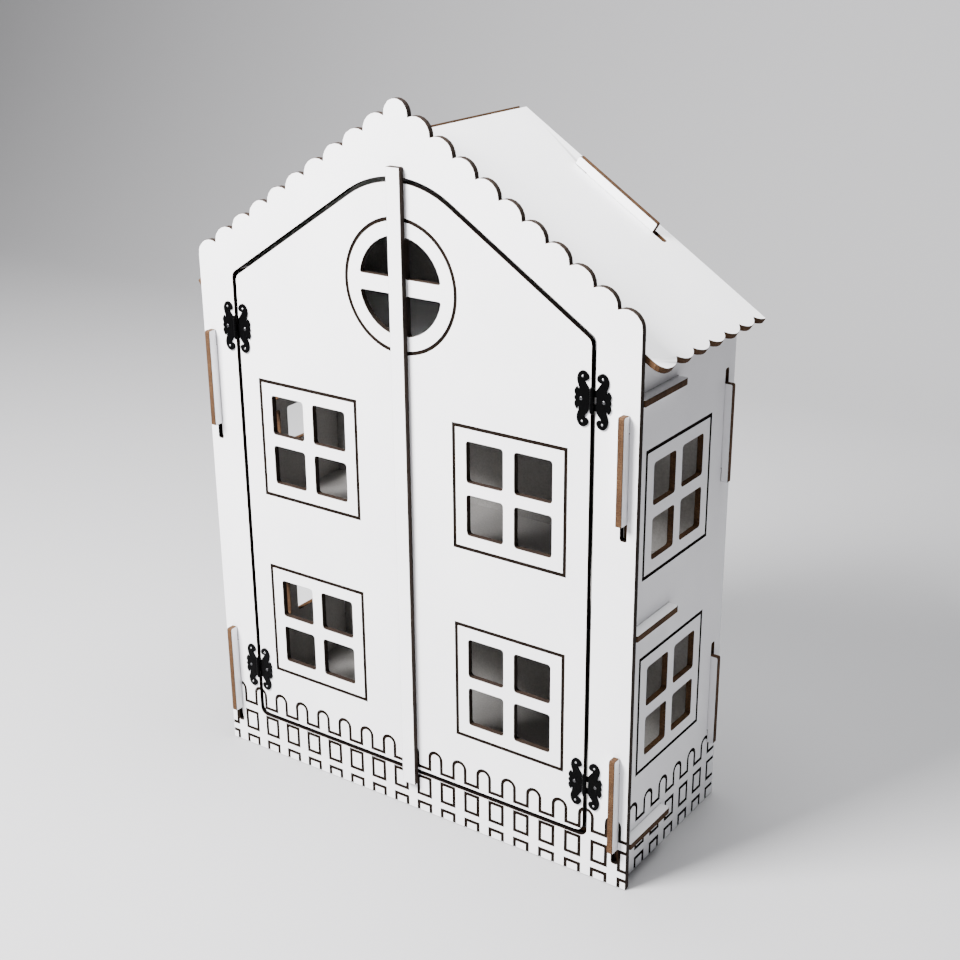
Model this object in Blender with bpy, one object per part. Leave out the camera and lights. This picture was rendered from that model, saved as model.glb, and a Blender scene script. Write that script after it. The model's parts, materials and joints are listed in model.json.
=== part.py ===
"""A flat-pack wooden dollhouse: laser-cut boards that hook into each other, with two hinged doors.

+X is to the right, +Y into the house and +Z up. The object's origin is on the ground, under the
middle of its bounding box. The constants are in millimetres. Depths are measured backwards from
the front face of the front panel, and at() turns such a point into the object's own metres.
"""

import math

import bmesh
import bpy
from mathutils import Vector

MM = 0.001

# Driving dimensions
BOARD = 6.0                 # thickness of every wooden board
GAP = 0.3                   # play between pieces that touch
FRONT_WIDTH = 490.0
WALL_OUTER_X = 235.5        # outer faces of the side walls
WALL_BACK_Y = 193.5
SLOPE = math.radians(33.0)  # of both gables and both roof panels
PEAK_Z = 700.5              # top of the front gable
RIDGE_Z = 673.0             # where the top faces of the roof panels meet
ROOF_FRONT_Y = 6.8
ROOF_BACK_Y = 196.5
BACK_PANEL_Y = 175.0        # front face of the back panel
RIDGE_SETBACK = 4.6         # from the ridge down to a roof panel's end, which is cut square

# Scallops of the gable and of the eaves
PEAK_RADIUS = 13.0
PEAK_STEM = 2.0             # from the round of the peak down to the cusps beside it
GABLE_SCALLOPS = 10         # on each slope, beside the one at the peak
GABLE_SCALLOP_RADIUS = 16.0
EAVE_CUSP = 305.3           # down the slope, from the ridge to the cusps between the scallops
EAVE_PITCH = 28.7
EAVE_SCALLOPS = 5           # whole ones, between a wider one at the front and a half one behind
EAVE_SCALLOP_RADIUS = 18.5
FIRST_SCALLOP_TIP = 312.2
FIRST_SCALLOP_TIP_Y = 22.0
FIRST_SCALLOP_CORNER = 12.0

# Door opening, drawn along the middle of the gap around the doors
HINGE_X = 200.3
OPENING_BOTTOM_Z = 44.2
OPENING_EAVE_Z = 521.2
ARCH_HALF_WIDTH = 55.0
DOOR_GAP = 4.2
DOOR_SEAM = 2.0
DOOR_BOTTOM_RADIUS = 8.0
DOOR_EAVE_RADIUS = 8.0

# Windows
WINDOW_SIDE = 118.0         # the window, with the border around its four panes
PANE_SIDE = 39.3
PANE_MARGIN = 13.6
PANE_RADIUS = 2.8
DOOR_WINDOW_X = 56.5        # edge of a door's windows nearest to the seam
WALL_WINDOW_Y = 31.5        # front edge of a wall's windows
WINDOW_SILLS_Z = (104.7, 302.2)
ROUND_WINDOW_Z = 537.2
ROUND_PANE_RADIUS = 45.5
ROUND_PANE_CORNER = 1.8
UPRIGHT_HALF = 7.0          # half the width of the bars between the round window's panes
CROSSBAR_HALF = 7.8

# Batten over the seam between the doors
BATTEN_WIDTH = 15.0
BATTEN_BOTTOM_Z = 31.0
BATTEN_TOP_Z = 643.5

# Hooks: the length of the lip, and how far the lip reaches past the neck that passes its slot
FRONT_HOOK = (97.3, 15.7)
BACK_HOOK = (96.0, 13.5)
ROOF_HOOK = (99.0, 14.0)
FRONT_HOOKS_Z = (40.6, 365.0)   # lower ends
BACK_HOOKS_Z = (68.0, 347.0)    # lower ends
ROOF_HOOK_START = 86.0          # upper end, down the slope from the ridge
HOOK_REACH = 9.2                # how far a lip stands out of the front panel or the roof
BACK_HOOK_REACH = 7.2
HOOK_RADIUS = 1.8
SLOT_RADIUS = 2.0           # at a slot's open end
TIGHT_RADIUS = 0.5          # at the end against which the hook sits

# Floors
FLOORS_Z = {"bottom_floor": 40.4, "middle_floor": 253.8, "attic_floor": 469.2}
EAR_BACK_Y = 82.2           # in front of this the floors stick out through the walls
EAR_TIP_X = 246.0
FLOOR_TABS_X = (-135.0, 85.0)   # left edges of the tabs through the back panel
FLOOR_TAB_WIDTH = 50.0
FLOOR_TAB_TIP_Y = 184.5

# Butterfly hinges
HINGES_Z = {"lower": 98.9, "upper": 469.3}
LEAF_THICKNESS = 1.0
BARREL_RADIUS = 2.0
BARREL_HALF = 9.4
KNUCKLE_HALF = 3.2          # of the door leaf's knuckle, between the two of the frame leaf
KNUCKLE_GAP = 0.2
BORE_RADIUS = 1.18
PIN_RADIUS = 1.09
PIN_HEAD_RADIUS = 1.7
PIN_HEAD_THICKNESS = 0.8
TAB_HALF_HEIGHT = 9.0
# The upper half of a leaf's edge, as (distance from the pin, height above the leaf's middle)
LEAF_EDGE = [
    (3.6, 9.4), (4.4, 10.8), (5.6, 12.5), (7.0, 14.3), (8.4, 16.1), (7.3, 16.3), (6.0, 16.4),
    (4.9, 17.0), (4.1, 18.0), (3.8, 19.3), (4.1, 20.8), (4.9, 22.2), (6.1, 23.4), (7.6, 24.2),
    (9.2, 24.6), (10.8, 24.4), (12.2, 23.7), (13.4, 22.5), (14.4, 20.9), (15.0, 19.1),
    (15.3, 17.2), (15.2, 15.3), (14.8, 13.5), (14.1, 11.7), (13.3, 9.8), (13.1, 8.1),
    (13.6, 7.3), (14.3, 8.2), (15.4, 10.1), (16.6, 8.5), (17.4, 6.9), (17.8, 5.2), (17.3, 3.6),
    (16.6, 2.4), (17.4, 1.3), (17.9, 0.0),
]
# Each leaf's fasteners: distance from the pin, height above the leaf's middle, and kind
FASTENERS = {
    "screw": (11.0, 0.0, "screw"),
    "nail_top": (9.8, 19.7, "nail"),
    "nail_bottom": (9.8, -19.7, "nail"),
}
# Radii of the shank, of the holes around it and of the head, and the head's height
FASTENER_SIZES = {"screw": (0.8, 1.1, 1.65, 0.8), "nail": (0.5, 0.8, 1.0, 0.6)}
SHANK_LENGTH = 5.0
PILOT_DEPTH = 4.5
ROUND_SIDES = 16

WALL_INNER_X = WALL_OUTER_X - BOARD
AXIS_Y = -GAP - BARREL_RADIUS
HOOK_TIP_Y = -GAP - HOOK_REACH
CENTRE_Y = (HOOK_TIP_Y + ROOF_BACK_Y) / 2

# Looks: colour, roughness and metallic
WHITE_BOARD = ((0.80, 0.80, 0.82), 0.45, 0.0)
BLACK_METAL = ((0.015, 0.015, 0.017), 0.5, 1.0)
STEEL = ((0.60, 0.60, 0.62), 0.3, 1.0)


def at(x, y, z):
    return Vector((x, y - CENTRE_Y, z)) * MM


# Outlines: lists of (u, v) points in millimetres

def arc(centre, radius, start, end, steps):
    """Points on an arc between two angles in degrees, both ends included."""
    points = []
    for k in range(steps + 1):
        angle = math.radians(start + (end - start) * k / steps)
        points.append((centre[0] + radius * math.cos(angle), centre[1] + radius * math.sin(angle)))
    return points


def circle(centre, radius, sides=ROUND_SIDES):
    return arc(centre, radius, 0, 360, sides)[:-1]


def bulge(start, end, radius, steps):
    """Points of the arc that swells to the left of the line from start to end, all but the end."""
    (x0, y0), (x1, y1) = start, end
    half = math.hypot(x1 - x0, y1 - y0) / 2
    along = math.atan2(y1 - y0, x1 - x0)
    sink = math.sqrt(radius * radius - half * half)
    centre = ((x0 + x1) / 2 + sink * math.sin(along), (y0 + y1) / 2 - sink * math.cos(along))
    spread = math.degrees(math.asin(half / radius))
    middle = math.degrees(along) + 90
    return arc(centre, radius, middle + spread, middle - spread, steps)[:-1]


def rounded(corners, steps=3):
    """Points of a polygon of corners (u, v, radius), rounded where the radius isn't 0."""
    points = []
    for k, (u, v, radius) in enumerate(corners):
        if not radius:
            points.append((u, v))
            continue
        here = Vector((u, v))
        before = (Vector(corners[k - 1][:2]) - here).normalized()
        after = (Vector(corners[(k + 1) % len(corners)][:2]) - here).normalized()
        half = before.angle(after) / 2
        centre = here + (before + after).normalized() * (radius / math.sin(half))
        first = here + before * (radius / math.tan(half)) - centre
        last = here + after * (radius / math.tan(half)) - centre
        start = math.atan2(first.y, first.x)
        turn = -first.angle_signed(last)
        for step in range(steps + 1):
            angle = start + turn * step / steps
            points.append((centre.x + radius * math.cos(angle), centre.y + radius * math.sin(angle)))
    return points


def rectangle(u0, v0, u1, v1, radius=0.0):
    return rounded([(u0, v0, radius), (u1, v0, radius), (u1, v1, radius), (u0, v1, radius)])


def mirrored(outline):
    return [(-u, v) for u, v in reversed(outline)]


def four_panes(u0, v0):
    near = PANE_MARGIN
    far = WINDOW_SIDE - PANE_MARGIN - PANE_SIDE
    panes = []
    for du in (near, far):
        for dv in (near, far):
            u, v = u0 + du, v0 + dv
            panes.append(rectangle(u, v, u + PANE_SIDE, v + PANE_SIDE, PANE_RADIUS))
    return panes


def round_window_panes():
    """The two quarters of the round window that are in the right door."""
    low = math.degrees(math.asin(CROSSBAR_HALF / ROUND_PANE_RADIUS))
    high = math.degrees(math.acos(UPRIGHT_HALF / ROUND_PANE_RADIUS))
    quarter = arc((0, 0), ROUND_PANE_RADIUS, low, high, 8)
    corners = [(*quarter[0], ROUND_PANE_CORNER)] + [(*point, 0) for point in quarter[1:-1]]
    corners += [(*quarter[-1], ROUND_PANE_CORNER),
                (UPRIGHT_HALF, CROSSBAR_HALF, ROUND_PANE_CORNER)]
    return [[(u, ROUND_WINDOW_Z + up * v) for u, v in rounded(corners)] for up in (1, -1)]


def gable_outline():
    lobe_z = PEAK_Z - PEAK_RADIUS
    base_z = lobe_z - PEAK_STEM
    step_x = (FRONT_WIDTH / 2 - PEAK_RADIUS) / GABLE_SCALLOPS
    step_z = step_x * math.tan(SLOPE)
    cusps = [(PEAK_RADIUS + k * step_x, base_z - k * step_z) for k in range(GABLE_SCALLOPS + 1)]
    right = []
    for start, end in zip(cusps, cusps[1:]):
        right += bulge(start, end, GABLE_SCALLOP_RADIUS, 7)
    right += [cusps[-1], (FRONT_WIDTH / 2, 0.0)]
    peak = arc((0, lobe_z), PEAK_RADIUS, 180, 0, 12)
    return peak + right + mirrored(right)


def door_profile(grow):
    """The right half of the door opening, widened by grow, from its bottom corner to its top."""
    side = HINGE_X + grow
    bottom = OPENING_BOTTOM_Z - grow
    eave = OPENING_EAVE_Z + grow * math.tan(math.pi / 4 - SLOPE / 2)
    radius = ARCH_HALF_WIDTH / math.sin(SLOPE)
    spring_z = OPENING_EAVE_Z + (HINGE_X - ARCH_HALF_WIDTH) * math.tan(SLOPE)
    centre = (0, spring_z - radius * math.cos(SLOPE))
    arch = arc(centre, radius + grow, 90 - math.degrees(SLOPE), 90, 8)
    corners = [(0, bottom, 0), (side, bottom, DOOR_BOTTOM_RADIUS), (side, eave, DOOR_EAVE_RADIUS)]
    return rounded(corners + [(*arch[0], 0)], steps=4)[1:-1] + arch


def roof_underside_z(x):
    return RIDGE_Z - x * math.tan(SLOPE) - BOARD / math.cos(SLOPE)


# Solids

def principled(name, look):
    colour, roughness, metallic = look
    material = bpy.data.materials.new(name)
    material.use_nodes = True
    shader = material.node_tree.nodes["Principled BSDF"]
    shader.inputs["Base Color"].default_value = (*colour, 1.0)
    shader.inputs["Roughness"].default_value = roughness
    shader.inputs["Metallic"].default_value = metallic
    return material


def finish(name, bm, look, origin, parent=None, smooth=False):
    """Makes the named object from a bmesh in world space, with its origin at the given point."""
    bmesh.ops.recalc_face_normals(bm, faces=bm.faces[:])
    bmesh.ops.translate(bm, verts=bm.verts[:], vec=-origin)
    mesh = bpy.data.meshes.new(name)
    bm.to_mesh(mesh)
    bm.free()
    if smooth:
        mesh.shade_smooth()
        mesh.set_sharp_from_angle(angle=math.radians(40))
    mesh.materials.append(principled(name, look))
    obj = bpy.data.objects.new(name, mesh)
    obj.location = origin
    if parent:
        obj.parent = parent
        obj.location = origin - parent.location
    bpy.context.scene.collection.objects.link(obj)
    return obj


def add_plate(bm, outline, holes, place, thickness):
    """Fills the outline but for its holes on place(u, v, 0), and extrudes it by the thickness."""
    edges = []
    for loop in [outline] + holes:
        verts = [bm.verts.new(place(u, v, 0.0)) for u, v in loop]
        for k, vert in enumerate(verts):
            edges.append(bm.edges.new((vert, verts[(k + 1) % len(verts)])))
    filled = bmesh.ops.triangle_fill(bm, use_beauty=True, edges=edges)["geom"]
    faces = [item for item in filled if isinstance(item, bmesh.types.BMFace)]
    extruded = bmesh.ops.extrude_face_region(bm, geom=faces, use_keep_orig=True)["geom"]
    moved = [item for item in extruded if isinstance(item, bmesh.types.BMVert)]
    shift = place(0.0, 0.0, thickness) - place(0.0, 0.0, 0.0)
    bmesh.ops.translate(bm, verts=moved, vec=shift)


def board(name, outline, holes, place, origin=Vector(), parent=None):
    bm = bmesh.new()
    add_plate(bm, outline, holes, place, BOARD)
    return finish(name, bm, WHITE_BOARD, origin, parent)


def front_plane(x, z, depth):
    return at(x, depth, z)


def turned(name, profile, place, look, origin, parent):
    """A closed round solid of (radius, height) rings that place(u, v, height) puts around its
    axis. A ring of radius 0 closes an end."""
    bm = bmesh.new()
    rings = []
    for radius, height in profile:
        points = circle((0, 0), radius) if radius else [(0, 0)]
        rings.append([bm.verts.new(place(u, v, height)) for u, v in points])
    for lower, upper in zip(rings, rings[1:]):
        for k in range(ROUND_SIDES):
            corners = [lower[k % len(lower)], lower[(k + 1) % len(lower)]]
            corners += [upper[(k + 1) % len(upper)], upper[k % len(upper)]]
            bm.faces.new(list(dict.fromkeys(corners)))
    return finish(name, bm, look, origin, parent, smooth=True)


def cut(obj, cutter, operation="DIFFERENCE"):
    cutter.hide_render = True
    cutter.display_type = "WIRE"
    modifier = obj.modifiers.new(cutter.name, "BOOLEAN")
    modifier.operation = operation
    modifier.solver = "EXACT"
    modifier.object = cutter


# Boards

def slot(u0, u1, tight_v, open_v):
    """A slot for a board between u0 and u1 whose hook sits against the tight end."""
    way = math.copysign(GAP, open_v - tight_v)
    tight_v, open_v = tight_v - way, open_v + way
    return rounded([
        (u0 - GAP, tight_v, TIGHT_RADIUS), (u1 + GAP, tight_v, TIGHT_RADIUS),
        (u1 + GAP, open_v, SLOT_RADIUS), (u0 - GAP, open_v, SLOT_RADIUS),
    ])


def make_front_frame():
    inside = door_profile(DOOR_GAP / 2)
    holes = [inside + mirrored(inside)[1:]]
    length, drop = FRONT_HOOK
    for low in FRONT_HOOKS_Z:
        hole = slot(WALL_INNER_X, WALL_OUTER_X, low + length - drop, low - drop)
        holes += [hole, mirrored(hole)]
    return board("front_frame", gable_outline(), holes, front_plane)


def make_door(name, side):
    edge = door_profile(-DOOR_GAP / 2)
    seam = DOOR_SEAM / 2
    outline = [(seam, edge[0][1])]
    outline += [point for point in edge if point[0] > seam]
    outline.append((seam, edge[-1][1]))
    holes = round_window_panes()
    for sill in WINDOW_SILLS_Z:
        holes += four_panes(DOOR_WINDOW_X, sill)
    if side < 0:
        outline = mirrored(outline)
        holes = [mirrored(hole) for hole in holes]
    return board(name, outline, holes, front_plane, origin=at(side * HINGE_X, AXIS_Y, 0))


def make_batten(door):
    half = BATTEN_WIDTH / 2
    outline = rectangle(-half, BATTEN_BOTTOM_Z, half, BATTEN_TOP_Z, 1.0)
    middle = at(0, -GAP, (BATTEN_BOTTOM_Z + BATTEN_TOP_Z) / 2)
    return board(
        "door_batten", outline, [], lambda x, z, depth: at(x, -GAP - depth, z), middle, door
    )


def wall_front_edge():
    """The front edge of a side wall, upwards as (y, z, radius): hooks that reach through the front
    panel, and open notches in which the floors' ears lie."""
    front = BOARD + GAP
    length, drop = FRONT_HOOK
    shapes = []
    for low in FRONT_HOOKS_Z:
        shapes.append((low, [
            (front, low, 0), (HOOK_TIP_Y, low, 1.0), (HOOK_TIP_Y, low + length, HOOK_RADIUS),
            (-GAP, low + length, 0), (-GAP, low + length - drop, 0),
            (front, low + length - drop, 0),
        ]))
    for floor_z in FLOORS_Z.values():
        low, high, back = floor_z - GAP, floor_z + BOARD + GAP, EAR_BACK_Y + GAP
        shapes.append((low, [
            (front, low, 0), (back, low, 1.0), (back, high, 1.0), (front, high, 0),
        ]))
    # The foot of the lowest hook hangs down in front of the lowest notch, which is cut first.
    return [corner for _, shape in sorted(shapes) for corner in shape]


def make_wall(name, side):
    front = BOARD + GAP
    top_z = roof_underside_z(WALL_OUTER_X) - GAP
    corners = [(front, 0, 0)] + wall_front_edge()
    corners += [(front, top_z, 0), (WALL_BACK_Y, top_z, 0), (WALL_BACK_Y, 0, 0)]
    holes = []
    for sill in WINDOW_SILLS_Z:
        holes += four_panes(WALL_WINDOW_Y, sill)
    length, drop = BACK_HOOK
    for low in BACK_HOOKS_Z:
        holes.append(slot(BACK_PANEL_Y, BACK_PANEL_Y + BOARD, low + drop, low + length + drop))

    def place(y, z, depth):
        return at(side * (WALL_INNER_X + depth), y, z)

    return board(name, rounded(corners, steps=2), holes, place)


def back_panel_edge():
    """The right half of the back panel's edge, from the ground up: two hooks that reach through
    the wall, then one that reaches through the roof."""
    side = WALL_INNER_X - GAP
    lip = WALL_OUTER_X + GAP
    tip = lip + BACK_HOOK_REACH
    length, drop = BACK_HOOK
    corners = [(side, 0, 0)]
    for low in BACK_HOOKS_Z:
        corners += [
            (side, low + drop, 0), (lip, low + drop, 0), (lip, low, 0), (tip, low, 1.0),
            (tip, low + length, HOOK_RADIUS), (side, low + length, 0),
        ]
    corners.append((side, roof_underside_z(side) - GAP / math.cos(SLOPE), 0))
    length, drop = ROOF_HOOK
    start, end = ROOF_HOOK_START, ROOF_HOOK_START + length
    hook = [
        (end, -BOARD - GAP, 0), (end, HOOK_REACH, HOOK_RADIUS), (start, HOOK_REACH, HOOK_RADIUS),
        (start, GAP, 0), (start + drop, GAP, 0), (start + drop, -BOARD - GAP, 0),
    ]
    # Here along is down the slope from the ridge, and above is over the roof's top face.
    for along, above, radius in hook:
        x = along * math.cos(SLOPE) + above * math.sin(SLOPE)
        z = RIDGE_Z - along * math.sin(SLOPE) + above * math.cos(SLOPE)
        corners.append((x, z, radius))
    return corners


def make_back_panel():
    right = rounded(back_panel_edge() + [(0, roof_underside_z(0) - GAP / math.cos(SLOPE), 0)])
    holes = []
    for floor_z in FLOORS_Z.values():
        for tab_x in FLOOR_TABS_X:
            holes.append(rectangle(
                tab_x - GAP, floor_z - GAP, tab_x + FLOOR_TAB_WIDTH + GAP, floor_z + BOARD + GAP
            ))

    def place(x, z, depth):
        return at(x, BACK_PANEL_Y + depth, z)

    return board("back_panel", right + mirrored(right)[1:], holes, place)


def make_floor(name, floor_z):
    """A floor with ears that stick out through the walls and tabs through the back panel."""
    inside = WALL_INNER_X - GAP
    front = BOARD + 2 * GAP
    back = BACK_PANEL_Y - GAP
    corners = [
        (-EAR_TIP_X, front, 1.0), (EAR_TIP_X, front, 1.0), (EAR_TIP_X, EAR_BACK_Y, 3.0),
        (inside, EAR_BACK_Y, 0), (inside, back, 0),
    ]
    for left in reversed(FLOOR_TABS_X):
        right = left + FLOOR_TAB_WIDTH
        corners += [
            (right, back, 0), (right, FLOOR_TAB_TIP_Y, 2.0), (left, FLOOR_TAB_TIP_Y, 2.0),
            (left, back, 0),
        ]
    corners += [(-inside, back, 0), (-inside, EAR_BACK_Y, 0), (-EAR_TIP_X, EAR_BACK_Y, 3.0)]

    def place(x, y, depth):
        return at(x, y, floor_z + depth)

    return board(name, rounded(corners, steps=2), [], place)


def eave():
    """A roof panel's eave from back to front, as (distance down the slope, y)."""
    last_cusp_y = ROOF_BACK_Y - EAVE_PITCH / 2
    cusps = [(EAVE_CUSP, last_cusp_y - k * EAVE_PITCH) for k in range(EAVE_SCALLOPS + 1)]
    half = bulge((EAVE_CUSP, last_cusp_y + EAVE_PITCH), cusps[0], EAVE_SCALLOP_RADIUS, 8)[4:]
    points = [(half[0][0], ROOF_BACK_Y)] + half[1:]
    for start, end in zip(cusps, cusps[1:]):
        points += bulge(start, end, EAVE_SCALLOP_RADIUS, 8)
    out = FIRST_SCALLOP_TIP - EAVE_CUSP
    along = cusps[-1][1] - FIRST_SCALLOP_TIP_Y
    radius = (out * out + along * along) / (2 * out)
    centre = (FIRST_SCALLOP_TIP - radius, FIRST_SCALLOP_TIP_Y)
    points += arc(centre, radius, math.degrees(math.asin(along / radius)), 0, 5)
    corner = (FIRST_SCALLOP_TIP - FIRST_SCALLOP_CORNER, ROOF_FRONT_Y + FIRST_SCALLOP_CORNER)
    points += arc(corner, FIRST_SCALLOP_CORNER, 0, -90, 5)
    return points


def make_roof(name, side):
    """A roof panel, drawn over (distance down the slope, y). The lower corners of the two panels'
    square ends come together under the ridge and leave a groove along it."""
    ridge = [(RIDGE_SETBACK, ROOF_FRONT_Y), (RIDGE_SETBACK, ROOF_BACK_Y)]
    length, drop = ROOF_HOOK
    tight = ROOF_HOOK_START + drop
    hook_slot = slot(BACK_PANEL_Y, BACK_PANEL_Y + BOARD, tight, tight + length)
    hook_slot = [(along, y) for y, along in hook_slot]

    def place(along, y, depth):
        x = along * math.cos(SLOPE) - depth * math.sin(SLOPE)
        return at(side * x, y, RIDGE_Z - along * math.sin(SLOPE) - depth * math.cos(SLOPE))

    return board(name, ridge + eave(), [hook_slot], place)


# Hinges

def leaf_outline(tabs):
    """A leaf's outline as (distance from the pin, height): its tabs are wrapped round the pin."""
    upper = [(0.0, TAB_HALF_HEIGHT), (LEAF_EDGE[0][0], TAB_HALF_HEIGHT)] + LEAF_EDGE
    notch = KNUCKLE_HALF + KNUCKLE_GAP
    if tabs == "outer":
        upper = [(LEAF_EDGE[0][0], notch), (0.0, notch)] + upper
    else:
        upper = [(0.0, KNUCKLE_HALF), (LEAF_EDGE[0][0], KNUCKLE_HALF)] + LEAF_EDGE
    lower = [(d, -z) for d, z in reversed(upper[:-1])]
    return upper + lower


def knuckle(bm, axis_x, low, high, radius):
    """Adds a closed cylinder around a hinge's axis to the bmesh."""
    def place(u, v, height):
        return at(axis_x + u, AXIS_Y + v, low + height)

    sides = circle((0, 0), radius)
    add_plate(bm, sides, [], place, high - low)


def make_leaf(name, side, outward, middle_z, tabs, parent):
    """A leaf of the hinge at side * HINGE_X. It points in the direction of +X if outward is 1."""
    axis_x = side * HINGE_X
    origin = at(axis_x, AXIS_Y, middle_z)

    def place(distance, height, depth):
        return at(axis_x + outward * distance, -GAP - LEAF_THICKNESS + depth, middle_z + height)

    holes = []
    for distance, height, kind in FASTENERS.values():
        holes.append(circle((distance, height), FASTENER_SIZES[kind][1], 12))
    bm = bmesh.new()
    add_plate(bm, leaf_outline(tabs), holes, place, LEAF_THICKNESS)
    leaf = finish(name, bm, BLACK_METAL, origin, parent, smooth=True)
    if tabs == "outer":
        spans = [(KNUCKLE_HALF + KNUCKLE_GAP, BARREL_HALF), (-BARREL_HALF, -KNUCKLE_HALF - KNUCKLE_GAP)]
    else:
        spans = [(-KNUCKLE_HALF, KNUCKLE_HALF)]
    bm = bmesh.new()
    for low, high in spans:
        knuckle(bm, axis_x, middle_z + low, middle_z + high, BARREL_RADIUS)
    cut(leaf, finish(name + "_knuckles", bm, BLACK_METAL, origin, parent), "UNION")
    bm = bmesh.new()
    knuckle(bm, axis_x, middle_z - 12, middle_z + 12, BORE_RADIUS)
    cut(leaf, finish(name + "_bore", bm, BLACK_METAL, origin, parent))
    return leaf


def make_pin(name, side, middle_z):
    head, far = BARREL_HALF + 0.1, BARREL_HALF + 0.1 + PIN_HEAD_THICKNESS
    upper = [(PIN_RADIUS, head), (PIN_HEAD_RADIUS, head), (PIN_HEAD_RADIUS, far - 0.3)]
    upper += [(PIN_HEAD_RADIUS - 0.4, far), (0, far)]
    profile = [(radius, -height) for radius, height in reversed(upper)] + upper

    def place(u, v, height):
        return at(side * HINGE_X + u, AXIS_Y + v, middle_z + height)

    return turned(name, profile, place, BLACK_METAL, at(side * HINGE_X, AXIS_Y, middle_z), None)


def make_fastener(name, x, z, kind, parent):
    shank, _, head, height = FASTENER_SIZES[kind]
    profile = [(0, -SHANK_LENGTH), (shank, -SHANK_LENGTH + 1.2), (shank, 0), (head, 0)]
    profile += [(head * 0.96, height * 0.35), (head * 0.65, height * 0.8), (0, height)]
    seat_y = -GAP - LEAF_THICKNESS - 0.1

    def place(u, v, out):
        return at(x + u, seat_y - out, z + v)

    return turned(name, profile, place, STEEL, at(x, seat_y, z), parent)


def drill(target, holes):
    """Drills a blind pilot hole of each (x, z, radius) into the front face of a board."""
    bm = bmesh.new()
    for x, z, radius in holes:
        add_plate(bm, circle((x, z), radius, 12), [],
                  lambda u, v, depth: at(u, depth - 1.0, v), PILOT_DEPTH + 1.0)
    cut(target, finish(target.name + "_pilot_holes", bm, STEEL, Vector()))


def make_hinge(level, side_name, side, door):
    """A whole hinge. Returns the pilot holes that its leaves need, for the frame and the door."""
    middle_z = HINGES_Z[level]
    stem = f"hinge_{level}_{side_name}"
    make_pin(stem + "_pin", side, middle_z)
    pilots = []
    for part, outward, tabs, parent in (
        ("frame", side, "outer", None),
        ("door", -side, "middle", door),
    ):
        make_leaf(f"{stem}_{part}_leaf", side, outward, middle_z, tabs, parent)
        holes = []
        for label, (distance, height, kind) in FASTENERS.items():
            x = side * HINGE_X + outward * distance
            z = middle_z + height
            make_fastener(f"{stem}_{part}_{label}", x, z, kind, parent)
            holes.append((x, z, FASTENER_SIZES[kind][1]))
        pilots.append(holes)
    return pilots


def main():
    for obj in list(bpy.data.objects):
        bpy.data.objects.remove(obj)
    frame = make_front_frame()
    frame_pilots = []
    for side_name, side in (("left", -1), ("right", 1)):
        door = make_door(side_name + "_door", side)
        if side < 0:
            make_batten(door)
        door_pilots = []
        for level in HINGES_Z:
            frame_holes, door_holes = make_hinge(level, side_name, side, door)
            frame_pilots += frame_holes
            door_pilots += door_holes
        drill(door, door_pilots)
        make_wall(side_name + "_wall", side)
        make_roof(side_name + "_roof", side)
    drill(frame, frame_pilots)
    make_back_panel()
    for name, floor_z in FLOORS_Z.items():
        make_floor(name, floor_z)


main()
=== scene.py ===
"""The dollhouse as it looks: engraved and laser-cut laminated boards, butterfly hinges, light and
camera. Lengths in the constants are in millimetres and are turned into metres where meshes are
made; depths are measured from the front face of the front panel, as in the CAD model."""

import json
import math
import bmesh
import bpy
from mathutils import Matrix, Vector


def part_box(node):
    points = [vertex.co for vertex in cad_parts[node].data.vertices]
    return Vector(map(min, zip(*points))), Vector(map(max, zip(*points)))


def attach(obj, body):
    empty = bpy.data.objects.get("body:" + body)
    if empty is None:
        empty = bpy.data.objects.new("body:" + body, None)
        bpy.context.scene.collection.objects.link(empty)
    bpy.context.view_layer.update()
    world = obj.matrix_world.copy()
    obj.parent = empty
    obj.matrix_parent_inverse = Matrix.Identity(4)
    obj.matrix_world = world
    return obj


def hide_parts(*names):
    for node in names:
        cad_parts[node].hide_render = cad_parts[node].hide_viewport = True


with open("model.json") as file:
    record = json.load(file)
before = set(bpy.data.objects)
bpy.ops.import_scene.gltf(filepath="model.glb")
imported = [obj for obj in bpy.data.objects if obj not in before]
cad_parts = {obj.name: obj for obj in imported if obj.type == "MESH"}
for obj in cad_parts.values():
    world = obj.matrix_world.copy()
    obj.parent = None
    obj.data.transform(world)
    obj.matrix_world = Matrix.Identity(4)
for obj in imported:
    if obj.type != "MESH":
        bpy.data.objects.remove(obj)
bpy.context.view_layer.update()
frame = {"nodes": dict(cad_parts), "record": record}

MM = 0.001
nodes = frame["nodes"]
bodies = frame["record"]["behaviour"]["bodies"]
body_of_node = {node: body for body, names in bodies.items() for node in names}

# Boards
FRONT_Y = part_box("front_frame")[0].y / MM    # the front panel's front face, in the row frame
WALL_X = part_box("right_wall")[1].x / MM      # outer face of the right wall
BOARD = 6.0                                  # thickness
GAP = 0.3                                    # between touching boards
SLOPE = math.radians(33)                     # of the roof and the gable
SLOPE_RATIO = math.tan(SLOPE)
ROOMS_BACK = 178.0                           # depth at which the back panel's hooks start
ROOF_INSIDE_Z = 669.5                        # where the roof's undersides would meet
GABLE_GAP_Z = 668.0                          # above any gap around the doors, at the middle
# Where parts of the front lie: distances from its middle, and heights
DOORWAY_X, DOORWAY_FOOT_Z = 206.0, 38.0
HOOK_SLOTS_X, HOOK_SLOTS_FOOT_Z = (220.0, 240.0), 5.0
DOOR_PANES_X, DOOR_PANES_Z = (56.0, 175.0), (104.0, 421.0)
ROUND_PANES_RADIUS, SEAM_HALF = 47.0, 4.0

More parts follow.
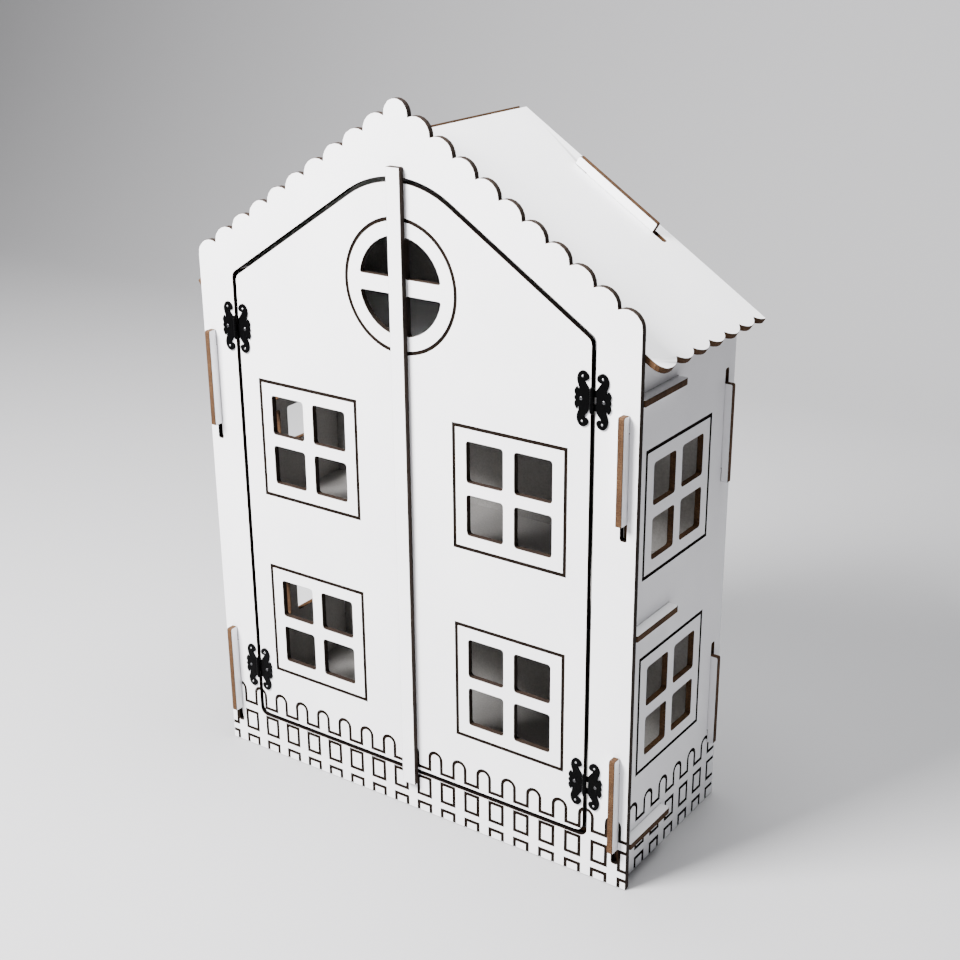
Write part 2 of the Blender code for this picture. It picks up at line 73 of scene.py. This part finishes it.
# Engraving
LINE_WIDTH = 3.6
LINE_DEPTH = 0.9
RIM_WIDTH = 0.5
WINDOW_SIDE = 118.0
DOOR_WINDOW_X = 56.5
WALL_WINDOW_Y = 31.5
WINDOW_SILLS_Z = (104.7, 302.2)
ROUND_WINDOW_Z = 537.2
ROUND_WINDOW_RADIUS = 60.5
PICKET_PITCH = 28.8
PICKET_HALF = 7.0
SIDE_PICKET_Y = 171.3                        # depth of the rearmost picket's middle
# Heights of the fence's lines: picket tops, and the edges of the upper and of the lower rail
FRONT_FENCE_Z = (72.0, 51.0, 39.6, 19.3, 9.4)
SIDE_FENCE_Z = (74.5, 54.5, 42.5, 22.8, 11.5)
FRONT_FENCE_X = (-246.5, 246.5)
SIDE_FENCE_Y = (4.0, 195.5)
OFF_BOARD = -2.0                             # lines that reach the foot run off it to this height
NARROWEST_GAP = 3.0                          # between pickets, for a line to fit in

# Hardware
SCREW_HEAD_HEIGHT = 0.8
NAIL_HEAD_HEIGHT = 0.6
HEAD_RIM = 0.12                              # straight part of a head, under its dome
SHANK_LENGTH, SHANK_POINT, SHANK_RATIO = 5.0, 1.2, 0.42
SCREW_RECESS = (0.42, 1.25, 0.55)            # half width, half length and depth of the cross
PIN_RADIUS = 1.09
PIN_BALL_RADIUS = 1.75
PIN_BALL_RISE = 0.9                          # of a ball's middle over its end of the shaft
PIN_END = 0.8                                # by which the shaft is shorter than the CAD's pin
LEAF_ROUNDING = 0.28

# Camera
CAMERA_PLACE = (825.0, -1053.9, 880.6)
CAMERA_AZIMUTH = 35.076
CAMERA_ELEVATION = 21.520
CAMERA_ROLL = -0.455
CAMERA_LENS = 58.229


def at(x, y, z):
    """A point with its depth measured from the front panel's face, in the row frame in metres."""
    return Vector((x, y + FRONT_Y, z)) * MM


# ---------------------------------------------------------------- materials

class Shader:
    """A node material with a Principled shader. Its textures follow the object's own coordinates,
    in metres, and stretch scales each axis of them. In the name of an input, an underscore stands
    for a space."""

    def __init__(self, name, colour, roughness, metallic=0.0):
        self.material = bpy.data.materials.new(name)
        self.material.use_nodes = True
        self.tree = self.material.node_tree
        self.principled = self.tree.nodes["Principled BSDF"]
        self.principled.inputs["Base Color"].default_value = (*colour, 1.0)
        self.principled.inputs["Roughness"].default_value = roughness
        self.principled.inputs["Metallic"].default_value = metallic
        self.coordinates = self.tree.nodes.new("ShaderNodeTexCoord")

    def node(self, kind, **inputs):
        made = self.tree.nodes.new(kind)
        for key, value in inputs.items():
            self.feed(made.inputs[key.replace("_", " ")], value)
        return made

    def feed(self, socket, value):
        if isinstance(value, bpy.types.NodeSocket):
            self.tree.links.new(value, socket)
        else:
            socket.default_value = value

    def noise(self, scale, detail, roughness=0.5, stretch=(1.0, 1.0, 1.0)):
        space = self.node("ShaderNodeMapping", Vector=self.coordinates.outputs["Object"],
                          Scale=stretch)
        made = self.node("ShaderNodeTexNoise", Vector=space.outputs["Vector"], Scale=scale,
                         Detail=detail, Roughness=roughness)
        return made.outputs["Fac"]

    def ramp(self, factor, *stops):
        """A colour for the factor, from stops of (position, colour)."""
        made = self.node("ShaderNodeValToRGB", Fac=factor)
        elements = made.color_ramp.elements
        while len(elements) < len(stops):
            elements.new(0.5)
        for element, (position, colour) in zip(elements, stops):
            element.position = position
            element.color = (*colour, 1.0)
        return made.outputs["Color"]

    def uneven(self, factor, low, high):
        """A value between low and high, where the factor runs from 0.3 to 0.7."""
        made = self.node("ShaderNodeMapRange", Value=factor, From_Min=0.3, From_Max=0.7,
                         To_Min=low, To_Max=high)
        return made.outputs["Result"]

    def multiply(self, first, second, factor=1.0):
        """The product of two colours. A Mix node's colours are its inputs 6 and 7."""
        made = self.tree.nodes.new("ShaderNodeMix")
        made.data_type = "RGBA"
        made.blend_type = "MULTIPLY"
        self.feed(made.inputs["Factor"], factor)
        self.feed(made.inputs[6], first)
        self.feed(made.inputs[7], second)
        return made.outputs[2]

    def bump(self, height, distance, strength):
        made = self.node("ShaderNodeBump", Height=height, Distance=distance, Strength=strength)
        return made.outputs["Normal"]

    def set(self, **inputs):
        for key, value in inputs.items():
            self.feed(self.principled.inputs[key.replace("_", " ")], value)


def laminate():
    s = Shader("white_laminate", (0.86, 0.86, 0.88), 0.42)
    cloud = s.noise(9.0, 4.0)
    grain = s.noise(420.0, 2.0)
    colour = s.ramp(cloud, (0.3, (0.80, 0.80, 0.825)), (0.7, (0.87, 0.87, 0.89)))
    speck = s.ramp(s.noise(900.0, 1.0), (0.30, (0.93, 0.93, 0.92)), (0.42, (1.0, 1.0, 1.0)))
    s.set(Base_Color=s.multiply(colour, speck, 0.6), Roughness=s.uneven(grain, 0.38, 0.52),
          Normal=s.bump(grain, 0.00006, 0.35))
    return s.material


def cut_edge(name, stretch, stops):
    """The cut edge of a board, with the stops of its colour from dark to light. The stretch is
    small along the board's thickness, so that the laser's fine ridges run straight through it."""
    s = Shader(name, (0.16, 0.10, 0.06), 0.85)
    ridges = s.noise(1300.0, 2.0, 0.6, stretch)
    fine_noise = s.noise(700.0, 3.0, 0.6)
    stain = s.noise(38.0, 3.0)
    colour = s.ramp(fine_noise, *stops)
    shade = s.ramp(stain, (0.3, (0.55, 0.50, 0.46)), (0.65, (1.0, 1.0, 1.0)))
    scorch = s.ramp(ridges, (0.3, (0.60, 0.55, 0.52)), (0.6, (1.0, 1.0, 1.0)))
    s.set(Base_Color=s.multiply(s.multiply(colour, shade), scorch), Specular_IOR_Level=0.2,
          Normal=s.bump(ridges, 0.00015, 0.6))
    return s.material


def room_shade_material():
    """Painted shade for the board's faces towards the rooms: the board is white laminate on both
    sides, and this grey stands in for the shade in the closed rooms.
    """
    s = Shader("room_side_painted_shade", (0.42, 0.41, 0.40), 0.8)
    fine_noise = s.noise(520.0, 4.0, 0.65)
    cloud = s.noise(14.0, 3.0)
    colour = s.ramp(fine_noise, (0.3, (0.37, 0.36, 0.35)), (0.7, (0.49, 0.48, 0.47)))
    shade = s.ramp(cloud, (0.3, (0.86, 0.86, 0.85)), (0.7, (1.0, 1.0, 1.0)))
    s.set(Base_Color=s.multiply(colour, shade), Normal=s.bump(fine_noise, 0.0001, 0.5))
    return s.material


def scorched(name, low, high, roughness):
    """Burnt board between two colours, low and high."""
    s = Shader(name, high, roughness)
    colour = s.ramp(s.noise(260.0, 3.0), (0.3, low), (0.7, high))
    s.set(Base_Color=colour, Specular_IOR_Level=0.06,
          Normal=s.bump(s.noise(1400.0, 2.0), 0.0001, 0.5))
    return s.material


def black_iron():
    s = Shader("black_lacquered_steel", (0.0004, 0.0004, 0.0005), 0.36)
    s.set(Specular_IOR_Level=0.03, Roughness=s.uneven(s.noise(220.0, 2.0), 0.28, 0.46),
          Normal=s.bump(s.noise(520.0, 3.0), 0.0001, 0.35))
    return s.material


def zinc(name, colour, roughness):
    s = Shader(name, colour, roughness, metallic=1.0)
    s.set(Roughness=s.uneven(s.noise(900.0, 2.0), 0.22, 0.42),
          Normal=s.bump(s.noise(1500.0, 2.0), 0.00004, 0.4))
    return s.material


LAMINATE = laminate()
BROWN = ((0.25, (0.036, 0.016, 0.006)),
         (0.50, (0.076, 0.037, 0.015)),
         (0.75, (0.125, 0.068, 0.031)))
CHARRED = ((0.25, (0.008, 0.004, 0.0024)),
           (0.50, (0.018, 0.010, 0.006)),
           (0.75, (0.034, 0.020, 0.012)))
EDGE_X = cut_edge("cut_edge_across_x", (0.04, 1.0, 1.0), BROWN)
EDGE_Y = cut_edge("cut_edge_across_y", (1.0, 0.04, 1.0), BROWN)
EDGE_Z = cut_edge("cut_edge_across_z", (1.0, 1.0, 0.04), BROWN)
FRONT_EDGE = cut_edge("charred_edge_of_front", (1.0, 0.04, 1.0), CHARRED)
RIM = scorched("scorched_rim", (0.012, 0.007, 0.004), (0.040, 0.023, 0.013), 0.85)
GROOVE = scorched("engraved_line", (0.003, 0.0019, 0.0012), (0.011, 0.0065, 0.004), 0.95)
# Painted shade: near-black cut edges in the gap around the doors and in the hooks' slots, standing
# in for the shade deep in the gap.
GAP_SHADE = scorched("painted_gap_shade", (0.0015, 0.001, 0.0008), (0.006, 0.004, 0.003), 0.95)
# Painted shade: faces towards the rooms are grey, though the boards are white laminate on both
# sides.
INSIDE = room_shade_material()
IRON = black_iron()
ZINC = zinc("zinc_plated_steel", (0.42, 0.42, 0.43), 0.3)
DULL_ZINC = zinc("dull_zinc_plated_steel", (0.10, 0.10, 0.105), 0.42)


# ---------------------------------------------------------------- outlines

def arc(centre, radius, start, end, steps):
    """Points of an arc between two angles in degrees."""
    points = []
    for k in range(steps + 1):
        angle = math.radians(start + (end - start) * k / steps)
        points.append((centre[0] + radius * math.cos(angle), centre[1] + radius * math.sin(angle)))
    return points


def offset_line(points, half, closed):
    """The two sides of a stroke around a polyline, mitred at its corners."""
    left, right = [], []
    count = len(points)
    for k, point in enumerate(points):
        here = Vector(point)
        before = Vector(points[k - 1]) if closed or k > 0 else None
        after = Vector(points[(k + 1) % count]) if closed or k < count - 1 else None
        steps = []
        if before is not None:
            steps.append((here - before).normalized())
        if after is not None:
            steps.append((after - here).normalized())
        normals = [Vector((-step.y, step.x)) for step in steps]
        mean = sum(normals, Vector((0.0, 0.0))).normalized()
        reach = half / max(mean.dot(normals[0]), 0.35)
        left.append(here + mean * reach)
        right.append(here - mean * reach)
    return left, right


def picket_line(centres, start, end, levels):
    """The fence's upper line from start to end: the rail's upper edge and the pickets' tops."""
    top, rail, *_ = levels
    spring = top - PICKET_HALF
    line = [(start, rail)]
    for centre in centres:
        low, high = centre - PICKET_HALF, centre + PICKET_HALF
        loop = [(low, rail)] + arc((centre, spring), PICKET_HALF, 180, 0, 12) + [(high, rail)]
        line += [point for point in loop if start < point[0] < end]
    line.append((end, rail))
    return line


def fence(centres, start, end, levels):
    """All lines of a fence between start and end, as (points, closed)."""
    _, _, upper, lower, foot = levels
    lines = [(picket_line(centres, start, end, levels), False)]
    edges = [c + side * PICKET_HALF for c in centres for side in (-1, 1)]
    for low, high in zip([start] + edges[1::2], edges[0::2] + [end]):
        if high - low <= NARROWEST_GAP:
            continue
        if low == start:
            lines.append(([(low, upper), (high, upper), (high, lower), (low, lower)], False))
            lines.append(([(low, foot), (high, foot), (high, OFF_BOARD)], False))
        elif high == end:
            lines.append(([(high, upper), (low, upper), (low, lower), (high, lower)], False))
            lines.append(([(high, foot), (low, foot), (low, OFF_BOARD)], False))
        else:
            lines.append(([(low, lower), (high, lower), (high, upper), (low, upper)], True))
            lines.append(([(low, OFF_BOARD), (low, foot), (high, foot), (high, OFF_BOARD)],
                          False))
    return lines


def square(u, v):
    """The line around a window whose lower left corner is at u, v."""
    side = WINDOW_SIDE
    return [(u, v), (u + side, v), (u + side, v + side), (u, v + side)], True


# ---------------------------------------------------------------- boards

# The material slots of a board. The cutter brings the material of the fourth, the engraved lines.
FACE, CUT_EDGE, SCORCHED_RIM, _, GAP_SHADE_SLOT, ROOM_SIDE = range(6)


def new_object(name, bm, *materials):
    """Makes an object of a bmesh, which it frees."""
    mesh = bpy.data.meshes.new(name)
    bm.to_mesh(mesh)
    bm.free()
    for material in materials:
        mesh.materials.append(material)
    obj = bpy.data.objects.new(name, mesh)
    bpy.context.scene.collection.objects.link(obj)
    return obj


def sharp_bevel(obj, width):
    """A Bevel on the edges between faces that meet at over 50 degrees."""
    bevel = obj.modifiers.new("bevel", "BEVEL")
    bevel.width = width * MM
    bevel.limit_method = "ANGLE"
    bevel.angle_limit = math.radians(50)
    return bevel


def subtract(obj, tool):
    """A Boolean that takes the tool out of the object. It allows for a tool that crosses itself."""
    cut = obj.modifiers.new("cut", "BOOLEAN")
    cut.operation = "DIFFERENCE"
    cut.solver = "EXACT"
    cut.use_self = True
    cut.object = tool
    return cut


def stroke_solid(bm, points, closed, place, depth):
    """Adds the solid that cuts a line: it runs from 1 mm outside the face to the line's depth."""
    outside = -1.0
    left, right = offset_line(points, LINE_WIDTH / 2, closed)
    rings = []
    for a, b in zip(left, right):
        rings.append([bm.verts.new(place(p.x, p.y, d)) for p, d in
                      ((a, outside), (b, outside), (b, depth), (a, depth))])
    pairs = list(zip(rings, rings[1:] + rings[:1])) if closed else list(zip(rings, rings[1:]))
    for one, two in pairs:
        for k in range(4):
            bm.faces.new((one[k], one[(k + 1) % 4], two[(k + 1) % 4], two[k]))
    if not closed:
        bm.faces.new(rings[0])
        bm.faces.new(list(reversed(rings[-1])))


def cutter(name, lines, place):
    """The tool that engraves the lines; place(u, v, depth) says where a point of them lies."""
    bm = bmesh.new()
    for points, closed in lines:
        stroke_solid(bm, points, closed, place, LINE_DEPTH)
    bmesh.ops.recalc_face_normals(bm, faces=bm.faces[:])
    return new_object(name, bm, GROOVE)


def welded(name):
    """A copy of a CAD node's mesh with its points merged."""
    bm = bmesh.new()
    bm.from_mesh(nodes[name].data)
    bmesh.ops.remove_doubles(bm, verts=bm.verts[:], dist=2e-6)
    bmesh.ops.dissolve_degenerate(bm, edges=bm.edges[:], dist=1e-7)
    return bm


def paint_board(mesh, normal, inner, gap_shaded):
    """Laminate on the outside, painted shade on the faces towards the rooms, and the cut edge on
    the rest.
    inner(centre, normal) says which faces are towards the rooms, and the last argument which cut
    edges get the near-black painted shade of a gap."""
    for polygon in mesh.polygons:
        centre = polygon.center / MM - Vector((0, FRONT_Y, 0))
        if abs(polygon.normal.dot(normal)) < 0.999:
            # Cut edges in a gap get its painted shade.
            polygon.material_index = GAP_SHADE_SLOT if gap_shaded(centre) else CUT_EDGE
        else:
            # Faces towards the rooms get the painted shade, the rest the white laminate.
            polygon.material_index = ROOM_SIDE if inner(centre, polygon.normal) else FACE


def apply_modifiers(obj):
    bpy.context.view_layer.update()
    graph = bpy.context.evaluated_depsgraph_get()
    mesh = bpy.data.meshes.new_from_object(obj.evaluated_get(graph), depsgraph=graph)
    mesh.validate()
    obj.modifiers.clear()
    old = obj.data
    obj.data = mesh
    bpy.data.meshes.remove(old)


def never(*_):
    return False


def board(name, normal, edge, lines=(), place=None, inner=never, gap_shaded=never, splits=()):
    """A board that replaces its CAD node, with scorched rims and engraved lines. Its faces look
    along normal or against it. They are split along the planes of splits, as (point in mm,
    normal), so that each part of a face is either inside the rooms or outside."""
    bm = welded(name)
    for point, across in splits:
        bmesh.ops.bisect_plane(bm, geom=bm.verts[:] + bm.edges[:] + bm.faces[:], dist=1e-6,
                               plane_co=at(*point), plane_no=across)
    obj = new_object(name + "_laminated", bm, LAMINATE, edge, RIM, GROOVE, GAP_SHADE, INSIDE)
    paint_board(obj.data, normal, inner, gap_shaded)
    bevel = sharp_bevel(obj, RIM_WIDTH)
    bevel.offset_type = "WIDTH"
    bevel.material = SCORCHED_RIM
    bevel.use_clamp_overlap = False
    if lines:
        tool = cutter(name + "_engraving", lines, place)
        subtract(obj, tool).material_mode = "TRANSFER"
        apply_modifiers(obj)
        bpy.data.objects.remove(tool)
    else:
        apply_modifiers(obj)
    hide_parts(name)
    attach(obj, body_of_node[name])


def front_place(x, z, depth):
    return at(x, depth, z)


front_centres = [k * PICKET_PITCH for k in range(-8, 9)]
front_lines = fence(front_centres, *FRONT_FENCE_X, FRONT_FENCE_Z)
door_lines = list(front_lines)
for corner_x in (-DOOR_WINDOW_X - WINDOW_SIDE, DOOR_WINDOW_X):
    door_lines += [square(corner_x, sill) for sill in WINDOW_SILLS_Z]
door_lines.append((arc((0, ROUND_WINDOW_Z), ROUND_WINDOW_RADIUS, 0, 360, 96)[:-1], True))


def backwards(centre, normal):
    return normal.y > 0.5


def downwards(centre, normal):
    return normal.z < 0


# These edges of the front panel get the painted shade of the gap.
def around_doors(centre):
    """Whether a cut edge of the front panel lies in the gap around the doors or in a slot."""
    by_door = abs(centre.x) < DOORWAY_X and centre.z > DOORWAY_FOOT_Z
    in_slot = (HOOK_SLOTS_X[0] < abs(centre.x) < HOOK_SLOTS_X[1]
               and centre.z > HOOK_SLOTS_FOOT_Z)
    return (by_door or in_slot) and centre.z + abs(centre.x) * SLOPE_RATIO < GABLE_GAP_Z


# A door's own edges face the gap around it and get its painted shade.
def door_rim(centre):
    """Whether a cut edge of a door is its own edge, not that of a pane."""
    square_pane = (DOOR_PANES_X[0] < abs(centre.x) < DOOR_PANES_X[1]
                   and DOOR_PANES_Z[0] < centre.z < DOOR_PANES_Z[1])
    from_middle = math.hypot(centre.x, centre.z - ROUND_WINDOW_Z)
    round_pane = from_middle < ROUND_PANES_RADIUS and abs(centre.x) > SEAM_HALF
    return not (square_pane or round_pane)


ALONG_X, ALONG_Y, ALONG_Z = (Vector(axis) for axis in ((1, 0, 0), (0, 1, 0), (0, 0, 1)))
board("front_frame", ALONG_Y, FRONT_EDGE, front_lines, front_place, backwards, around_doors)
board("left_door", ALONG_Y, FRONT_EDGE, door_lines, front_place, backwards, door_rim)
board("right_door", ALONG_Y, FRONT_EDGE, door_lines, front_place, backwards, door_rim)
board("door_batten", ALONG_Y, FRONT_EDGE)

side_centres = [SIDE_PICKET_Y - k * PICKET_PITCH for k in range(5, -1, -1)]
side_lines = fence(side_centres, *SIDE_FENCE_Y, SIDE_FENCE_Z)
side_lines += [square(WALL_WINDOW_Y, sill) for sill in WINDOW_SILLS_Z]
for name, side in (("left_wall", -1), ("right_wall", 1)):
    board(name, ALONG_X, EDGE_X, side_lines,
          place=lambda y, z, depth, side=side: at(side * (WALL_X - depth), y, z),
          inner=lambda centre, normal, side=side: normal.x * side < 0 and centre.y > BOARD,
          splits=[((0, BOARD + GAP, 0), ALONG_Y)])


def roof_normal(side):
    return Vector((side * math.sin(SLOPE), 0, math.cos(SLOPE)))


WALL_INSIDE = WALL_X - BOARD
TO_PLANE = 0.2                               # from a wall's inner face to the plane beside it
wall_planes = [((side * (WALL_INSIDE - TO_PLANE), 0, 0), ALONG_X) for side in (-1, 1)]
roof_planes = [((0, 0, ROOF_INSIDE_Z), roof_normal(side)) for side in (-1, 1)]


def in_rooms(centre, normal):
    return abs(centre.x) < WALL_INSIDE and centre.y < ROOMS_BACK


def under_roof(centre, normal):
    return (normal.y < 0 and abs(centre.x) < WALL_INSIDE
            and centre.z + abs(centre.x) * SLOPE_RATIO < ROOF_INSIDE_Z)


board("back_panel", ALONG_Y, EDGE_Y, inner=under_roof, splits=wall_planes + roof_planes)
for name in ("bottom_floor", "middle_floor"):
    board(name, ALONG_Z, EDGE_Z, inner=in_rooms,
          splits=wall_planes + [((0, ROOMS_BACK, 0), ALONG_Y)])
board("attic_floor", ALONG_Z, EDGE_Z)
for name, side in (("right_roof", 1), ("left_roof", -1)):
    board(name, roof_normal(side), EDGE_Z, inner=downwards)


# ---------------------------------------------------------------- hardware

def piece(name, bm, material, cad_name):
    """Makes a piece of a bmesh, in place of a CAD node."""
    bmesh.ops.recalc_face_normals(bm, faces=bm.faces[:])
    obj = new_object(name, bm, material)
    obj.data.shade_smooth()
    obj.data.set_sharp_from_angle(angle=math.radians(35))
    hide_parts(cad_name)
    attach(obj, body_of_node[cad_name])
    return obj


def revolved(profile, sides, place):
    """A closed round bmesh of (radius, height) rings, put in place by place(u, v, height)."""
    bm = bmesh.new()
    rings = []
    for radius, height in profile:
        points = arc((0, 0), radius, 0, 360, sides)[:-1] if radius else [(0, 0)]
        rings.append([bm.verts.new(place(u, v, height)) for u, v in points])
    for lower, upper in zip(rings, rings[1:]):
        for k in range(sides):
            corners = [lower[k % len(lower)], lower[(k + 1) % len(lower)]]
            corners += [upper[(k + 1) % len(upper)], upper[k % len(upper)]]
            bm.faces.new(list(dict.fromkeys(corners)))
    return bm


def dome(radius, height, rings):
    """Rings of a shallow round head, from its rim to its top."""
    return [(radius * math.cos(a), height * math.sin(a))
            for a in (math.pi / 2 * k / rings for k in range(rings))] + [(0, height)]


def head(cad_name, cross):
    """A domed screw or nail in place of its CAD node, with a cross recess if it is a screw."""
    low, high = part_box(cad_name)
    centre = (low + high) / 2
    radius = (high.x - low.x) / 2 / MM
    shank = SHANK_RATIO * radius
    height = SCREW_HEAD_HEIGHT if cross else NAIL_HEAD_HEIGHT
    steel = DULL_ZINC if cross else ZINC
    seat = low.y / MM + height

    def place(u, v, out):
        return Vector((centre.x / MM + u, seat - out, centre.z / MM + v)) * MM

    profile = [(0, -SHANK_LENGTH), (shank, SHANK_POINT - SHANK_LENGTH), (shank, 0),
               (radius, 0), (radius, HEAD_RIM)]
    profile += [(r, h + HEAD_RIM) for r, h in dome(radius * 0.98, height - HEAD_RIM, 6)]
    obj = piece(cad_name + "_head", revolved(profile, 28, place), steel, cad_name)
    if not cross:
        return
    half, reach, depth = SCREW_RECESS
    turn = 0.35 + 7.0 * abs(centre.x) + 3.0 * centre.z    # each screw stopped at another angle
    bm = bmesh.new()
    for angle in (turn, turn + math.pi / 2):
        along = Vector((math.cos(angle), math.sin(angle)))
        side = Vector((-along.y, along.x))
        rings = []
        for out, grow in ((height + 0.5, 1.25), (height - depth, 0.55)):
            corners = [along * (s * reach * grow) + side * (t * half * grow)
                       for s, t in ((-1, -1), (1, -1), (1, 1), (-1, 1))]
            rings.append([bm.verts.new(place(c.x, c.y, out)) for c in corners])
        for k in range(4):
            bm.faces.new((rings[0][k], rings[0][(k + 1) % 4], rings[1][(k + 1) % 4], rings[1][k]))
        bm.faces.new(rings[0])
        bm.faces.new(list(reversed(rings[1])))
    bmesh.ops.recalc_face_normals(bm, faces=bm.faces[:])
    tool = new_object("recess", bm, steel)
    subtract(obj, tool)
    apply_modifiers(obj)
    bpy.data.objects.remove(tool)


def pin(cad_name):
    """A hinge pin with a small ball at each end."""
    low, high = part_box(cad_name)
    centre = (low + high) / 2
    half = (high.z - low.z) / 2 / MM - PIN_END
    ball_z = half + PIN_BALL_RISE

    def place(u, v, height):
        return centre + Vector((u, v, height)) * MM

    ball = [(PIN_BALL_RADIUS * math.cos(a), ball_z + PIN_BALL_RADIUS * math.sin(a))
            for a in (math.radians(-31 + 17.3 * k) for k in range(7))]
    upper = [(PIN_RADIUS, 0.0), (PIN_RADIUS, half)] + ball + [(0, ball_z + PIN_BALL_RADIUS)]
    profile = [(r, -h) for r, h in reversed(upper)] + upper[1:]
    piece(cad_name + "_with_balls", revolved(profile, 24, place), IRON, cad_name)


for name, obj in list(nodes.items()):
    if not name.startswith("hinge_"):
        continue
    if name.endswith("_pin"):
        pin(name)
    elif name.endswith("_leaf"):
        obj.data.materials.clear()
        obj.data.materials.append(IRON)
        sharp_bevel(obj, LEAF_ROUNDING).segments = 2
    else:
        head(name, name.endswith("_screw"))


# ---------------------------------------------------------------- stage

def sweep(name, half_width, front, bend, radius, height, material):
    """A floor that curves up into a backdrop: a strip that follows a profile of (y, z) points.
    Its lengths are in metres."""
    profile = [(front, 0.0), (bend, 0.0)]
    steps = 12
    for k in range(1, steps + 1):
        angle = math.pi / 2 * k / steps
        profile.append((bend + radius * math.sin(angle), radius * (1 - math.cos(angle))))
    profile.append((bend + radius, height))
    verts = [(x, y, z) for y, z in profile for x in (-half_width, half_width)]
    faces = [(2 * k, 2 * k + 1, 2 * k + 3, 2 * k + 2) for k in range(len(profile) - 1)]
    mesh = bpy.data.meshes.new(name)
    mesh.from_pydata(verts, [], faces)
    mesh.materials.append(material)
    mesh.shade_smooth()
    obj = bpy.data.objects.new(name, mesh)
    obj.location.z = -0.4 * MM
    bpy.context.scene.collection.objects.link(obj)


sweep("floor", half_width=6.0, front=-5.0, bend=1.3, radius=1.0, height=4.5,
      material=Shader("pale_floor", (0.34, 0.34, 0.35), 0.85).material)


def area_light(name, place, target, size, power, colour=(1, 1, 1)):
    light = bpy.data.lights.new(name, "AREA")
    light.energy = power
    light.size = size
    light.color = colour
    obj = bpy.data.objects.new(name, light)
    obj.location = place
    obj.rotation_euler = (Vector(target) - Vector(place)).to_track_quat("-Z", "Y").to_euler()
    bpy.context.scene.collection.objects.link(obj)


HOUSE_MIDDLE = (0, 0, 0.4)
area_light("key", (-0.75, -1.4, 1.8), HOUSE_MIDDLE, 0.9, 310, (1.0, 0.985, 0.98))
area_light("top", (0.15, 0.15, 2.3), HOUSE_MIDDLE, 1.2, 95)

world = bpy.data.worlds.new("world")
bpy.context.scene.world = world
world.use_nodes = True
background = world.node_tree.nodes["Background"]
background.inputs["Color"].default_value = (0.84, 0.86, 0.90, 1.0)
background.inputs["Strength"].default_value = 0.10

camera = bpy.data.cameras.new("camera")
camera.lens = CAMERA_LENS
camera.sensor_width = 36.0
view = bpy.data.objects.new("camera", camera)
turn = (
    Matrix.Rotation(math.radians(CAMERA_AZIMUTH), 4, "Z")
    @ Matrix.Rotation(math.radians(90 - CAMERA_ELEVATION), 4, "X")
    @ Matrix.Rotation(math.radians(CAMERA_ROLL), 4, "Z")
)
view.matrix_world = Matrix.Translation(at(*CAMERA_PLACE)) @ turn
bpy.context.scene.collection.objects.link(view)
bpy.context.scene.camera = view
